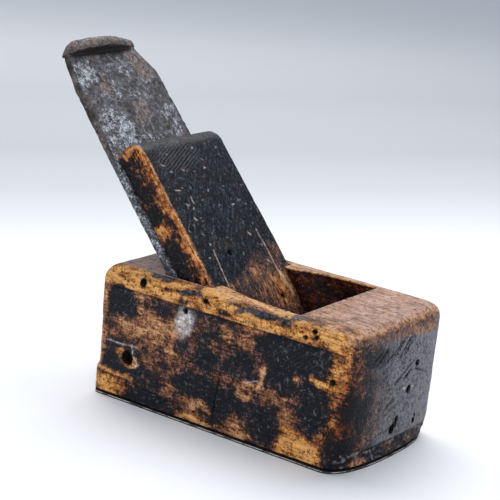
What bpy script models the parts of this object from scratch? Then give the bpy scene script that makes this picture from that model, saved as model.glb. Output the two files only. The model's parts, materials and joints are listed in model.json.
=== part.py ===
"""Small wooden hand plane with a single iron, a wedge and a thin iron sole.

Frame: the origin is the centre of the sole's underside. +X points to the toe, +Y to the plane's
left side and +Z up. All sizes are in metres.

The iron lies on a bed that rises from the mouth towards the heel. The wedge holds it down from in
front and bears on two abutments, which stand out from the cheeks of the throat.
"""

from math import copysign, cos, pi, radians, sin, sqrt, tan

import bmesh
import bpy

# Driving dimensions of the whole plane.
LENGTH = 0.1335
WIDTH = 0.073
HEIGHT = 0.0605
GAP = 0.0003

# Stock: rounded edges, heel ledge, heel corners and rounded nose.
TOP_ROUND_HEEL = 0.0078
TOP_ROUND_TOE = 0.0058
TOP_ROUND_SIDE = 0.0052
HEEL_CORNER = 0.0030
SMALLEST_CORNER = 0.0018
LEDGE_DEPTH = 0.0015
LEDGE_TOP = 0.0145
LEDGE_FOOT = 0.0112
LEDGE_STEPS = 4
ROUND_STEPS = 9
CORNER_STEPS = 6
NOSE_STEPS = 28
NOSE_DEPTH = 0.0090
NOSE_DEPTH_FOOT = 0.0125
NOSE_FULLNESS = 4.0
NOSE_FULLNESS_FOOT = 2.5
NOSE_CHANGE_HEIGHT = 0.0300
NOSE_CHANGE_POWER = 2.5
NOSE_RING_HEIGHTS = (0.0035, 0.0060, 0.0085, 0.0180, 0.0230, 0.0300)

# Bed, throat and mouth. Places along X are measured from the heel.
BED_ANGLE = radians(49.5)
ABUTMENT_ANGLE = radians(56.0)
BED_TOP = 0.0300
ABUTMENT_TOP = 0.0562
THROAT_FRONT_TOP = 0.1013
MOUTH_FRONT = 0.0905
MOUTH_LAND = 0.0060
THROAT_HALF = 0.0295
ABUTMENT_INNER_TOP = 0.0230
ABUTMENT_INNER_FOOT = 0.0270
ABUTMENT_NOSE = 0.0040
ABUTMENT_NOSE_SHARE = 0.25
ABUTMENT_FLARE = 0.0150
ABUTMENT_FLARE_SHARE = 0.60
ABUTMENT_FLARE_HALF = 0.0278
OVERCUT = 0.0030

# Iron, in the bed's own coordinates: up along the bed from the stock's top, and out from the bed.
IRON_THICK = 0.0036
IRON_HALF = 0.0286
IRON_TAPER_FROM = 0.0600
SHOULDER_AT = 0.0930
SHOULDER_HALF = 0.0274
NECK_AT = 0.1065
NECK_HALF = 0.0222
HEAD_HALF = 0.0234
HEAD_LENGTH = 0.0060
HEAD_BULGE = 0.0045
FRONT_STEPS = 12
HEAD_STEPS = 6
HEAD_FULLNESS = 0.6
EDGE_ABOVE_SOLE = 0.0003
EDGE_THICK = 0.0001
BEVEL_ANGLE = radians(27.0)

# Wedge, in the bed's own coordinates as well.
WEDGE_HALF_TOP = 0.0272
WEDGE_HALF_FOOT = 0.0286
WEDGE_TOP = 0.0558
WEDGE_TOP_BACK = 0.0542
WEDGE_FRONT = 0.0190
WEDGE_TOP_ROUND = 0.0075
WEDGE_FOOT_HEIGHT = 0.0130
WEDGE_TIP = 0.0020
WEDGE_TIP_LENGTH = 0.0110
WEDGE_EDGE = 0.0008
BEVEL_SEGMENTS = 2
BEVEL_LIMIT = radians(40)

# Sole plate and its screws.
PLATE_THICK = 0.0015
PLATE_INSET = 0.0001
SCREW_PLACES = (0.014, 0.060, 0.119)
SCREW_SIDE = 0.0235
SCREW_HEAD_R = 0.0030
SCREW_HEAD_DEPTH = 0.0016
SCREW_SHANK_R = 0.0015
SCREW_LENGTH = 0.0115
SCREW_TIP = 0.0030
SCREW_SUNK = 0.0002
SLOT_WIDTH = 0.0007
SLOT_DEPTH = 0.0006
SCREW_SIDES = 16
SHARP_ANGLE = radians(35)

HEEL_X = -LENGTH / 2


def clear_scene():
    for item in list(bpy.data.objects):
        bpy.data.objects.remove(item, do_unlink=True)


def make_material(name, colour, roughness, metallic):
    material = bpy.data.materials.new(name)
    material.use_nodes = True
    shader = material.node_tree.nodes["Principled BSDF"]
    shader.inputs["Base Color"].default_value = (*colour, 1.0)
    shader.inputs["Roughness"].default_value = roughness
    shader.inputs["Metallic"].default_value = metallic
    material.diffuse_color = (*colour, 1.0)
    return material


def add_object(name, mesh_data, material=None):
    """Put a bmesh into a new, named object with its faces pointing out."""
    bmesh.ops.recalc_face_normals(mesh_data, faces=mesh_data.faces)
    mesh = bpy.data.meshes.new(name)
    mesh_data.to_mesh(mesh)
    mesh_data.free()
    item = bpy.data.objects.new(name, mesh)
    bpy.context.collection.objects.link(item)
    if material:
        mesh.materials.append(material)
    return item


def loft(rings):
    """Close a stack of rings with the same number of points into one body."""
    body = bmesh.new()
    rows = [[body.verts.new(point) for point in ring] for ring in rings]
    count = len(rows[0])
    for lower, upper in zip(rows, rows[1:]):
        for i in range(count):
            j = (i + 1) % count
            body.faces.new((lower[i], lower[j], upper[j], upper[i]))
    body.faces.new(rows[0][::-1])
    body.faces.new(rows[-1])
    return body


def prism(outline, half_width):
    """Extrude an outline in the XZ plane to both sides along Y."""
    return loft([[(x, side * half_width, z) for x, z in outline] for side in (-1, 1)])


def cylinder_rings(rings, centre):
    """Rings of a round piece about a vertical line, from (height, radius) pairs."""
    turns = [2 * pi * i / SCREW_SIDES for i in range(SCREW_SIDES)]
    return [
        [(centre[0] + radius * cos(a), centre[1] + radius * sin(a), height) for a in turns]
        for height, radius in rings
    ]


def subtract(target, cutter):
    """Cut one object out of another and keep the cutter as a guide."""
    cutter.hide_render = True
    cutter.display_type = "WIRE"
    modifier = target.modifiers.new("cut " + cutter.name, "BOOLEAN")
    modifier.operation = "DIFFERENCE"
    modifier.solver = "EXACT"
    modifier.object = cutter


def shade_smooth(item):
    item.data.shade_smooth()
    item.data.set_sharp_from_angle(angle=SHARP_ANGLE)


# Lines of the throat, each giving X at a height.

def bed_x(z):
    return HEEL_X + BED_TOP + (HEIGHT - z) / tan(BED_ANGLE)


def abutment_x(z):
    return HEEL_X + ABUTMENT_TOP + (HEIGHT - z) / tan(ABUTMENT_ANGLE)


def throat_front_x(z):
    slope = (THROAT_FRONT_TOP - MOUTH_FRONT) / (HEIGHT - MOUTH_LAND)
    return HEEL_X + MOUTH_FRONT + max(0.0, z - MOUTH_LAND) * slope


def abutment_foot():
    """Height at which the abutments run out into the throat's front wall."""
    slope = (THROAT_FRONT_TOP - MOUTH_FRONT) / (HEIGHT - MOUTH_LAND)
    reach = HEEL_X + ABUTMENT_TOP + HEIGHT / tan(ABUTMENT_ANGLE)
    wall = HEEL_X + MOUTH_FRONT - MOUTH_LAND * slope
    return (reach - wall) / (slope + 1 / tan(ABUTMENT_ANGLE))


# Stock.

def round_inset(radius, z):
    """How far a rounded top edge has drawn in at a height."""
    rise = z - (HEIGHT - radius)
    if rise <= 0:
        return 0.0
    return radius - sqrt(max(0.0, radius ** 2 - rise ** 2))


def heel_set_in(z):
    """The heel stands back above its ledge, with a rounded shoulder between."""
    share = min(1.0, max(0.0, (z - LEDGE_FOOT) / (LEDGE_TOP - LEDGE_FOOT)))
    return LEDGE_DEPTH * (1.0 - sqrt(1.0 - share ** 2))


def corner_arc(centre_x, centre_y, radius, start):
    """Quarter circle that turns left from a start angle."""
    angles = [start + pi / 2 * i / CORNER_STEPS for i in range(CORNER_STEPS + 1)]
    return [(centre_x + radius * cos(a), centre_y + radius * sin(a)) for a in angles]


def nose_arc(toe, half, z):
    """The toe's end seen from above: a flat oval that grows rounder near the sole."""
    share = max(0.0, 1.0 - z / NOSE_CHANGE_HEIGHT) ** NOSE_CHANGE_POWER
    depth = NOSE_DEPTH + (NOSE_DEPTH_FOOT - NOSE_DEPTH) * share
    power = 2.0 / (NOSE_FULLNESS + (NOSE_FULLNESS_FOOT - NOSE_FULLNESS) * share)
    arc = []
    for i in range(NOSE_STEPS + 1):
        turn = pi * (i / NOSE_STEPS - 0.5)
        across = copysign(abs(sin(turn)) ** power, turn)
        arc.append((toe - depth + depth * max(0.0, cos(turn)) ** power, half * across))
    return arc


def block_outline(heel, toe, half, heel_corner, z):
    """The block seen from above at one height, from X heel to X toe."""
    outline = nose_arc(toe, half, z)
    outline += corner_arc(heel + heel_corner, half - heel_corner, heel_corner, pi / 2)
    outline += corner_arc(heel + heel_corner, heel_corner - half, heel_corner, pi)
    return outline


def stock_ring(z):
    """The stock's outline at one height."""
    side_in = round_inset(TOP_ROUND_SIDE, z)
    heel = HEEL_X + heel_set_in(z) + round_inset(TOP_ROUND_HEEL, z)
    toe = -HEEL_X - round_inset(TOP_ROUND_TOE, z)
    half = WIDTH / 2 - side_in
    heel_corner = max(SMALLEST_CORNER, HEEL_CORNER - side_in / 2)
    outline = block_outline(heel, toe, half, heel_corner, z)
    return [(x, y, z) for x, y in outline]


def stock_heights():
    """Heights of the rings: foot, nose, ledge and the rounded top."""
    heights = [PLATE_THICK + GAP, *NOSE_RING_HEIGHTS]
    for i in range(LEDGE_STEPS + 1):
        heights.append(LEDGE_FOOT + (LEDGE_TOP - LEDGE_FOOT) * i / LEDGE_STEPS)
    start = HEIGHT - TOP_ROUND_HEEL
    for i in range(ROUND_STEPS + 1):
        heights.append(start + TOP_ROUND_HEEL * sin(pi / 2 * i / ROUND_STEPS))
    return sorted(heights)


def throat_slot():
    """Room for the iron and the wedge, from the bed to the abutments."""
    top = HEIGHT + OVERCUT
    foot = abutment_foot()
    outline = [
        (bed_x(top), top),
        (bed_x(-OVERCUT), -OVERCUT),
        (HEEL_X + MOUTH_FRONT, -OVERCUT),
        (HEEL_X + MOUTH_FRONT, MOUTH_LAND),
        (throat_front_x(foot), foot),
        (abutment_x(top), top),
    ]
    return add_object("cutter_slot", prism(outline, THROAT_HALF))


def escapement_ring(z):
    """Half the shavings' way out, in front of the wedge, mirrored to a full ring."""
    back = abutment_x(z)
    front = throat_front_x(z)
    room = front - back
    drop = (HEIGHT - z) / (HEIGHT - abutment_foot())
    inner = ABUTMENT_INNER_TOP + (ABUTMENT_INNER_FOOT - ABUTMENT_INNER_TOP) * drop
    nose = min(ABUTMENT_NOSE, room * ABUTMENT_NOSE_SHARE)
    flare = min(ABUTMENT_FLARE, room * ABUTMENT_FLARE_SHARE)
    half = [
        (back - OVERCUT, inner),
        (back + nose, inner),
        (back + nose + flare, max(inner, ABUTMENT_FLARE_HALF)),
        (front, THROAT_HALF),
    ]
    return [(x, y, z) for x, y in half] + [(x, -y, z) for x, y in reversed(half)]


def throat_escapement():
    foot = abutment_foot() + GAP
    heights = [foot, HEIGHT / 2, HEIGHT, HEIGHT + OVERCUT]
    return add_object("cutter_escapement", loft([escapement_ring(z) for z in heights]))


def screw_centres():
    return [(HEEL_X + x, side * SCREW_SIDE) for x in SCREW_PLACES for side in (1, -1)]


def round_cutter(name, rings):
    """One cutter object that holds a round body at each screw."""
    body = bmesh.new()
    for centre in screw_centres():
        piece = loft(cylinder_rings(rings, centre))
        mesh = bpy.data.meshes.new(name)
        bmesh.ops.recalc_face_normals(piece, faces=piece.faces)
        piece.to_mesh(mesh)
        piece.free()
        body.from_mesh(mesh)
        bpy.data.meshes.remove(mesh)
    return add_object(name, body)


def build_stock(material):
    stock = add_object("stock", loft([stock_ring(z) for z in stock_heights()]), material)
    shade_smooth(stock)
    subtract(stock, throat_slot())
    subtract(stock, throat_escapement())
    pilot_radius = SCREW_SHANK_R + GAP
    pilot = [(0.0, pilot_radius), (SCREW_LENGTH + 2 * GAP, pilot_radius)]
    subtract(stock, round_cutter("cutter_pilot_holes", pilot))
    return stock


# Sole plate and screws.

def head_radius(z):
    """The countersunk head's radius at a height above the sole."""
    share = (z - SCREW_SUNK) / SCREW_HEAD_DEPTH
    return SCREW_HEAD_R + (SCREW_SHANK_R - SCREW_HEAD_R) * share


def build_sole_plate(material):
    outline = block_outline(
        HEEL_X + PLATE_INSET,
        -HEEL_X - PLATE_INSET,
        WIDTH / 2 - PLATE_INSET,
        HEEL_CORNER,
        0.0,
    )
    plate = add_object(
        "sole_plate",
        loft([[(x, y, z) for x, y in outline] for z in (0.0, PLATE_THICK)]),
        material,
    )
    mouth = [
        (bed_x(PLATE_THICK) - GAP, -OVERCUT),
        (HEEL_X + MOUTH_FRONT, -OVERCUT),
        (HEEL_X + MOUTH_FRONT, OVERCUT),
        (bed_x(PLATE_THICK) - GAP, OVERCUT),
    ]
    subtract(plate, add_object("cutter_mouth", prism(mouth, THROAT_HALF)))
    sink = [(z, head_radius(z) + GAP) for z in (-GAP, PLATE_THICK + GAP)]
    subtract(plate, round_cutter("cutter_countersinks", sink))
    return plate


def build_screw(number, centre, material):
    neck = SCREW_SUNK + SCREW_HEAD_DEPTH
    rings = [
        (SCREW_SUNK, SCREW_HEAD_R),
        (neck, SCREW_SHANK_R),
        (SCREW_LENGTH - SCREW_TIP, SCREW_SHANK_R),
        (SCREW_LENGTH, SCREW_SHANK_R / 4),
    ]
    name = f"sole_screw_{number}"
    local_rings = cylinder_rings(rings, (0.0, 0.0))
    screw = add_object(name, loft(local_rings), material)
    screw.location = (*centre, 0.0)
    slot = [
        (-SLOT_WIDTH / 2, SCREW_SUNK - SLOT_DEPTH),
        (SLOT_WIDTH / 2, SCREW_SUNK - SLOT_DEPTH),
        (SLOT_WIDTH / 2, SCREW_SUNK + SLOT_DEPTH),
        (-SLOT_WIDTH / 2, SCREW_SUNK + SLOT_DEPTH),
    ]
    cutter = add_object(f"cutter_slot_{number}", prism(slot, SCREW_HEAD_R * 2))
    cutter.location = screw.location
    subtract(screw, cutter)
    shade_smooth(screw)
    return screw


# Iron and wedge, both drawn in the bed's coordinates: X up along the bed from the stock's top,
# Z out from the bed. The object's rotation lays them on the bed.

def lay_on_bed(item):
    item.rotation_euler = (0.0, -BED_ANGLE, pi)
    item.location = (HEEL_X + BED_TOP, 0.0, HEIGHT)


def along_bed(height, off_bed):
    """How far up the bed a point lies that has this height and distance from the bed."""
    return (height - HEIGHT - off_bed * cos(BED_ANGLE)) / sin(BED_ANGLE)


def iron_ring(along, half, back, front, bulge=0.0):
    """The iron's section at one place, its front swelling forwards by the bulge."""
    ring = [(along, -half, back), (along, half, back)]
    for i in range(FRONT_STEPS + 1):
        across = 1.0 - 2.0 * i / FRONT_STEPS
        ring.append((along, half * across, front + bulge * (1.0 - across ** 2)))
    return ring


def build_iron(material):
    back = GAP
    front = GAP + IRON_THICK
    edge = along_bed(EDGE_ABOVE_SOLE, front)
    bevel = edge + (IRON_THICK - EDGE_THICK) / tan(BEVEL_ANGLE)
    rings = [
        iron_ring(edge, IRON_HALF, front - EDGE_THICK, front),
        iron_ring(bevel, IRON_HALF, back, front),
        iron_ring(IRON_TAPER_FROM, IRON_HALF, back, front),
        iron_ring(SHOULDER_AT, SHOULDER_HALF, back, front),
        iron_ring(NECK_AT, NECK_HALF, back, front),
    ]
    for i in range(HEAD_STEPS + 1):
        turn = pi * i / HEAD_STEPS
        along = NECK_AT + HEAD_LENGTH * (1 - cos(turn)) / 2 + GAP
        swell = sin(turn) ** HEAD_FULLNESS if 0 < i < HEAD_STEPS else 0.0
        half = NECK_HALF + (HEAD_HALF - NECK_HALF) * swell
        rings.append(iron_ring(along, half, back, front, HEAD_BULGE * swell))
    iron = add_object("plane_iron", loft(rings), material)
    lay_on_bed(iron)
    shade_smooth(iron)
    return iron


def wedge_front_at(along):
    """The wedge's front below the stock's top, a gap away from the abutments."""
    top_x = ABUTMENT_TOP - GAP / sin(ABUTMENT_ANGLE) - BED_TOP
    start_along = -top_x * cos(BED_ANGLE)
    start_off = top_x * sin(BED_ANGLE)
    return start_off + (along - start_along) * tan(ABUTMENT_ANGLE - BED_ANGLE)


def wedge_bend():
    """Where the tapered part meets the parallel part that stands above the stock."""
    return (WEDGE_FRONT - wedge_front_at(0.0)) / tan(ABUTMENT_ANGLE - BED_ANGLE)


def wedge_half(along, foot):
    """The wedge grows slightly narrower from its foot to its top."""
    share = (along - foot) / (WEDGE_TOP - foot)
    return WEDGE_HALF_FOOT + (WEDGE_HALF_TOP - WEDGE_HALF_FOOT) * share


def build_wedge(material):
    back = GAP + IRON_THICK + GAP
    foot = along_bed(WEDGE_FOOT_HEIGHT, back)
    toe_cut = foot + WEDGE_TIP_LENGTH
    outline = [
        (foot, back),
        (foot, back + WEDGE_TIP),
        (toe_cut, wedge_front_at(toe_cut)),
        (wedge_bend(), WEDGE_FRONT),
    ]
    centre_along = WEDGE_TOP - WEDGE_TOP_ROUND
    centre_off = WEDGE_FRONT - WEDGE_TOP_ROUND
    for i in range(ROUND_STEPS + 1):
        turn = pi / 2 * i / ROUND_STEPS
        outline.append((
            centre_along + WEDGE_TOP_ROUND * sin(turn),
            centre_off + WEDGE_TOP_ROUND * cos(turn),
        ))
    outline.append((WEDGE_TOP_BACK, back))
    sides = [
        [(along, side * wedge_half(along, foot), off) for along, off in outline]
        for side in (-1, 1)
    ]
    wedge = add_object("wedge", loft(sides), material)
    bevel = wedge.modifiers.new("worn edges", "BEVEL")
    bevel.width = WEDGE_EDGE
    bevel.segments = BEVEL_SEGMENTS
    bevel.limit_method = "ANGLE"
    bevel.angle_limit = BEVEL_LIMIT
    lay_on_bed(wedge)
    shade_smooth(wedge)
    return wedge


def build_plane():
    clear_scene()
    beech = make_material("patinated_beech", (0.20, 0.11, 0.05), 0.5, 0.0)
    wedge_wood = make_material("wedge_beech", (0.14, 0.10, 0.08), 0.5, 0.0)
    iron_steel = make_material("pitted_steel", (0.30, 0.30, 0.31), 0.45, 1.0)
    sole_steel = make_material("sole_steel", (0.36, 0.34, 0.32), 0.4, 1.0)
    screw_steel = make_material("screw_steel", (0.33, 0.30, 0.27), 0.45, 1.0)
    build_stock(beech)
    build_sole_plate(sole_steel)
    for number, centre in enumerate(screw_centres(), start=1):
        build_screw(number, centre, screw_steel)
    build_iron(iron_steel)
    build_wedge(wedge_wood)


build_plane()
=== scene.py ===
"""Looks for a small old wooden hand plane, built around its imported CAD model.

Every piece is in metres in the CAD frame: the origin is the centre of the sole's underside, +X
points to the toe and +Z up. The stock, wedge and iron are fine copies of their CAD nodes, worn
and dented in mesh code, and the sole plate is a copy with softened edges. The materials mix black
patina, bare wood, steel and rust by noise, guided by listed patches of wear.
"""

from itertools import product
from math import cos, radians, sin

import bmesh
import bpy
import numpy as np
from mathutils import Matrix, Vector
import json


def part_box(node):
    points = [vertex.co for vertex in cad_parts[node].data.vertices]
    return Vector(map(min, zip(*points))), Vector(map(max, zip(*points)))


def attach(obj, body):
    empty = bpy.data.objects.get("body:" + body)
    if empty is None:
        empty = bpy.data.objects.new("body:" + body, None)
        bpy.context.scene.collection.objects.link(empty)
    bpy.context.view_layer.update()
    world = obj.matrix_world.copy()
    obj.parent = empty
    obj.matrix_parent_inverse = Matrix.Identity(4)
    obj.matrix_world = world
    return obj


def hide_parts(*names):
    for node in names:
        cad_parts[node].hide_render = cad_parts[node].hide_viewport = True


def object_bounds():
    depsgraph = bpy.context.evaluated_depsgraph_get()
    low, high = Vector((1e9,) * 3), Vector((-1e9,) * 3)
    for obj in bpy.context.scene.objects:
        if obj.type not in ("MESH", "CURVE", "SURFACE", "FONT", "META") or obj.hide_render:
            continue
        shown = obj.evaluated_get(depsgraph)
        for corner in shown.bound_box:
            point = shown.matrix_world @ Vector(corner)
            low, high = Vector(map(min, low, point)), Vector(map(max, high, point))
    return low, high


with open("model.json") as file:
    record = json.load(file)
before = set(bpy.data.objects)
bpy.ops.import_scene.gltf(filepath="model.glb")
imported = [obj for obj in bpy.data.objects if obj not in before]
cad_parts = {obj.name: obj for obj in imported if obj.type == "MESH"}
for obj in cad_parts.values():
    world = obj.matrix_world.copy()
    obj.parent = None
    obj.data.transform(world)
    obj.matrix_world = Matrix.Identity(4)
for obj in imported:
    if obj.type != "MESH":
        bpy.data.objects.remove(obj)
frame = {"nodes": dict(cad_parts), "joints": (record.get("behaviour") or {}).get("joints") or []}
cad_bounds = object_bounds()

MM = 0.001

# Camera.
CAMERA_AZIMUTH = 34.98
CAMERA_ELEVATION = 15.44
CAMERA_ROLL = 5.15
CAMERA_DISTANCE = 0.7237
CAMERA_LENS = 120.93
AIM_OFFSET = Vector((0.0102, -0.0035, -0.0027))

# Stage and lights. The floor's colours lie along its reach, from near the object to far behind it; the
# grey dip behind the object is painted shade.
FLOOR_PAPER_AND_SHADE_TONES = (
    (0.110, (0.82, 0.83, 0.86)),
    (0.155, (0.61, 0.63, 0.65)),
    (0.200, (0.49, 0.51, 0.53)),
    (0.260, (0.42, 0.44, 0.46)),
    (0.370, (0.46, 0.48, 0.505)),
    (0.500, (0.64, 0.66, 0.69)),
    (0.750, (0.85, 0.87, 0.90)),
)
FLOOR_REACH = 2.0
FLOOR_TURN = 20.0
FLOOR_SIZE = 8.0
WORLD_COLOUR = (0.80, 0.88, 1.0)
WORLD_STRENGTH = 0.49
# Place, size, power and colour of each soft light.
TOP_SOFTBOX = ((-0.30, 0.37, 0.89), (1.2, 1.0), 13.5, (1.0, 0.98, 0.96))
FRONT_FILL = ((0.62, -1.00, 0.44), (0.7, 0.5), 7.0, (1.0, 0.97, 0.93))
LIGHTS_AIM = (0.0, 0.0, 0.04)

# Mesh sizes.
STOCK_VOXEL = 0.55 * MM
WEDGE_VOXEL = 0.50 * MM
IRON_VOXEL = 0.45 * MM
# Cells along each side of the noise's repeating cube.
LATTICE = 32

# Colours. A ramp's rows are a place from 0 to 1 and the linear colour there.
BROWN_TONES = (
    (0.00, (0.002, 0.004, 0.008)),
    (0.30, (0.008, 0.009, 0.013)),
    (0.38, (0.020, 0.010, 0.009)),
    (0.45, (0.046, 0.020, 0.016)),
    (0.53, (0.092, 0.040, 0.025)),
    (0.64, (0.190, 0.075, 0.030)),
    (0.80, (0.325, 0.146, 0.060)),
    (0.96, (0.500, 0.280, 0.150)),
)
GOLD_TONES = (
    (0.00, (0.004, 0.004, 0.006)),
    (0.35, (0.016, 0.009, 0.007)),
    (0.44, (0.060, 0.020, 0.008)),
    (0.53, (0.150, 0.056, 0.013)),
    (0.64, (0.305, 0.110, 0.021)),
    (0.80, (0.440, 0.186, 0.042)),
    (0.96, (0.610, 0.312, 0.096)),
)
# Dark polish, whose bluish greys are painted reflection of the bright room.
POLISH_AND_REFLECTION_TONES = (
    (0.38, (0.032, 0.032, 0.039)),
    (0.50, (0.105, 0.105, 0.122)),
    (0.63, (0.215, 0.213, 0.236)),
)
# The wedge's near-black polish, its bluish cast painted reflection.
WEDGE_POLISH_AND_REFLECTION_TONES = (
    (0.36, (0.001, 0.002, 0.003)),
    (0.54, (0.005, 0.009, 0.016)),
    (0.68, (0.032, 0.041, 0.056)),
)
# Dusty wood with a pale greyish painted reflection of the bright room mixed in.
DUST_AND_SHEEN_TONES = (
    (0.32, (0.130, 0.072, 0.052)),
    (0.50, (0.400, 0.240, 0.180)),
    (0.68, (0.545, 0.375, 0.300)),
)
PALE_TONES = (
    (0.35, (0.230, 0.200, 0.195)),
    (0.52, (0.510, 0.470, 0.470)),
    (0.66, (0.830, 0.800, 0.800)),
)
# Steel greys; the pale bluish top stops paint reflection of the bright room.
IRON_TONES = (
    (0.30, (0.010, 0.009, 0.011)),
    (0.42, (0.045, 0.042, 0.046)),
    (0.54, (0.090, 0.085, 0.095)),
    (0.61, (0.140, 0.143, 0.165)),
    (0.67, (0.300, 0.322, 0.372)),
    (0.84, (0.560, 0.600, 0.670)),
)
RUST_TONES = (
    (0.34, (0.040, 0.029, 0.025)),
    (0.50, (0.122, 0.094, 0.089)),
    (0.66, (0.290, 0.235, 0.220)),
)
# Steel darkened to near black as painted shade of the sole's contact with the floor.
SOLE_STEEL_AND_SHADE_TONES = (
    (0.38, (0.001, 0.001, 0.001)),
    (0.52, (0.005, 0.005, 0.005)),
    (0.68, (0.030, 0.028, 0.026)),
)
RED_TINT = (0.66, 0.33, 0.23)
BLACK = (0.002, 0.002, 0.002)
RIPPLE_COLOUR = (0.150, 0.140, 0.135)
# Grey of the rub marks, partly painted glints on the black polish.
RUB_AND_GLINT_COLOUR = (0.110, 0.102, 0.112)
# Black for dirt and for the painted shadow under the iron's lip.
GRIME_AND_SHADOW = (0.010, 0.008, 0.008)
# The sole plate's painted highlight along its edge.
SOLE_HIGHLIGHT_COLOUR = (0.46, 0.44, 0.42)
# Heights in millimetres where the sole plate's painted highlight begins, is full, begins to fade and
# ends.
SOLE_HIGHLIGHT = (0.45, 0.60, 0.80, 0.95)

# How the grain, the rub marks and the blade's ripples turn, and how strong grain and relief are.
BED_TURN = radians(-49.5)
STOCK_TURNS = {
    "grain": (0.0, 0.0, 0.0),
    "rub": (0.0, radians(-35), radians(-40)),
    "ripple": (0.0, radians(-50), radians(25)),
}
WEDGE_TURNS = {
    "grain": (0.0, BED_TURN, 0.0),
    "rub": (0.0, BED_TURN, radians(40)),
    "ripple": (0.0, BED_TURN, radians(-25)),
}
STOCK_GRAIN = 0.5
WEDGE_GRAIN = 1.2
STOCK_RELIEF = 0.45 * MM
WEDGE_RELIEF = 0.22 * MM
WOOD_SPECULAR = 0.13
STEEL_SPECULAR = 0.35
SOLE_SPECULAR = 0.1
FLOOR_SPECULAR = 0.2

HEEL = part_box("stock")[0].x
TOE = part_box("stock")[1].x
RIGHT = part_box("stock")[0].y
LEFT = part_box("stock")[1].y
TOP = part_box("stock")[1].z
BED_UP = np.array(next(j["axis"] for j in frame["joints"] if j["name"] == "iron_slide"), float)
BED_OUT = np.array((BED_UP[2], 0.0, -BED_UP[0]))
BED_TOP = np.array((HEEL + 30.0 * MM, 0.0, TOP))


# Noise and masks on arrays of points.

def smoothstep(low, high, value):
    """0 below low and 1 above high, with a soft rise between them."""
    share = np.clip((value - low) / (high - low), 0.0, 1.0)
    return share * share * (3.0 - 2.0 * share)


def value_noise(points, size, seed, stretch=(1.0, 1.0, 1.0)):
    """Smooth noise from -1 to 1 whose lumps are about as large as size times stretch."""
    table = np.random.default_rng(seed).random((LATTICE, LATTICE, LATTICE)) * 2.0 - 1.0
    scaled = points / (size * np.array(stretch)) + 17.3
    cell = np.floor(scaled).astype(int)
    part = scaled - cell
    part = part * part * (3.0 - 2.0 * part)
    total = np.zeros(len(points))
    for corner in product((0, 1), repeat=3):
        weight = np.prod(np.where(corner, part, 1.0 - part), axis=1)
        index = (cell + corner) % LATTICE
        total += weight * table[index[:, 0], index[:, 1], index[:, 2]]
    return total


def layered_noise(points, size, seed, octaves=3, stretch=(1.0, 1.0, 1.0)):
    """Layers of noise added up, each half as large and half as strong as the one before."""
    total = np.zeros(len(points))
    for i in range(octaves):
        total += value_noise(points, size / 2 ** i, seed + i, stretch) / 2 ** i
    return total / (2.0 - 2.0 ** (1 - octaves))


def blob(points, centre, radii, edge=0.35):
    """1 inside an ellipsoid, falling softly to 0 across its edge."""
    distance = np.linalg.norm((points - np.array(centre)) / np.array(radii), axis=1)
    return 1.0 - smoothstep(1.0 - edge, 1.0 + edge, distance)


def warped(points, size, amount, seed):
    """The points shifted about by noise, so that shapes drawn from them come out ragged."""
    shifts = [layered_noise(points, size, seed + 10 * axis, 3) for axis in range(3)]
    return points + np.stack(shifts, axis=1) * amount


def segment_distance(points, start, end):
    """Distance of each point from the straight line between two places."""
    start = np.array(start)
    along = np.array(end) - start
    share = np.clip((points - start) @ along / (along @ along), 0.0, 1.0)
    return np.linalg.norm(points - start - share[:, None] * along, axis=1)


def groove(points, start, end, half_width):
    """1 along the middle of a narrow line, 0 away from it."""
    return 1.0 - smoothstep(0.0, half_width, segment_distance(points, start, end))


def paint(places, base, patches, unit=MM):
    """Add listed soft patches, whose sizes are in the unit, to a mask."""
    for centre, size, amount in patches:
        base = base + amount * blob(places, centre, np.array(size) * unit)
    return base


# Places on the stock's faces, given in millimetres from the heel and the sole, or from the
# middle line.

def on_right(x, z):
    return (HEEL + x * MM, RIGHT, z * MM)


def on_left(x, z):
    return (HEEL + x * MM, LEFT, z * MM)


def on_top(x, y):
    return (HEEL + x * MM, y * MM, TOP)


def on_toe(y, z):
    return (TOE, y * MM, z * MM)


def on_heel(y, z):
    return (HEEL, y * MM, z * MM)


# Meshes.

def link(name, mesh):
    piece = bpy.data.objects.new(name, mesh)
    bpy.context.scene.collection.objects.link(piece)
    return piece


def copy_of(node, name):
    """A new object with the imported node's mesh, its split vertices joined."""
    mesh = bmesh.new()
    mesh.from_mesh(frame["nodes"][node].data)
    bmesh.ops.remove_doubles(mesh, verts=mesh.verts, dist=1e-6)
    data = bpy.data.meshes.new(name)
    mesh.to_mesh(data)
    mesh.free()
    return link(name, data)


def apply_modifiers(piece):
    depsgraph = bpy.context.evaluated_depsgraph_get()
    worn = bpy.data.meshes.new_from_object(piece.evaluated_get(depsgraph))
    rough = piece.data
    piece.modifiers.clear()
    piece.data = worn
    bpy.data.meshes.remove(rough)


def fine_copy(node, name, voxel, smoothing):
    """The node's shape as an even mesh of small cells, its edges slightly softened."""
    piece = copy_of(node, name)
    remesh = piece.modifiers.new("cells", "REMESH")
    remesh.mode = "VOXEL"
    remesh.voxel_size = voxel
    remesh.use_smooth_shade = True
    soften = piece.modifiers.new("soften", "SMOOTH")
    soften.factor = 0.5
    soften.iterations = smoothing
    apply_modifiers(piece)
    return piece


def read_points(mesh):
    points = np.empty(len(mesh.vertices) * 3, np.float32)
    mesh.vertices.foreach_get("co", points)
    return points.reshape(-1, 3).astype(float)


def read_normals(mesh):
    normals = np.empty(len(mesh.vertices) * 3, np.float32)
    mesh.vertex_normals.foreach_get("vector", normals)
    return normals.reshape(-1, 3).astype(float)


def write_points(mesh, points):
    mesh.vertices.foreach_set("co", points.astype(np.float32).ravel())
    mesh.update()


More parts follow.
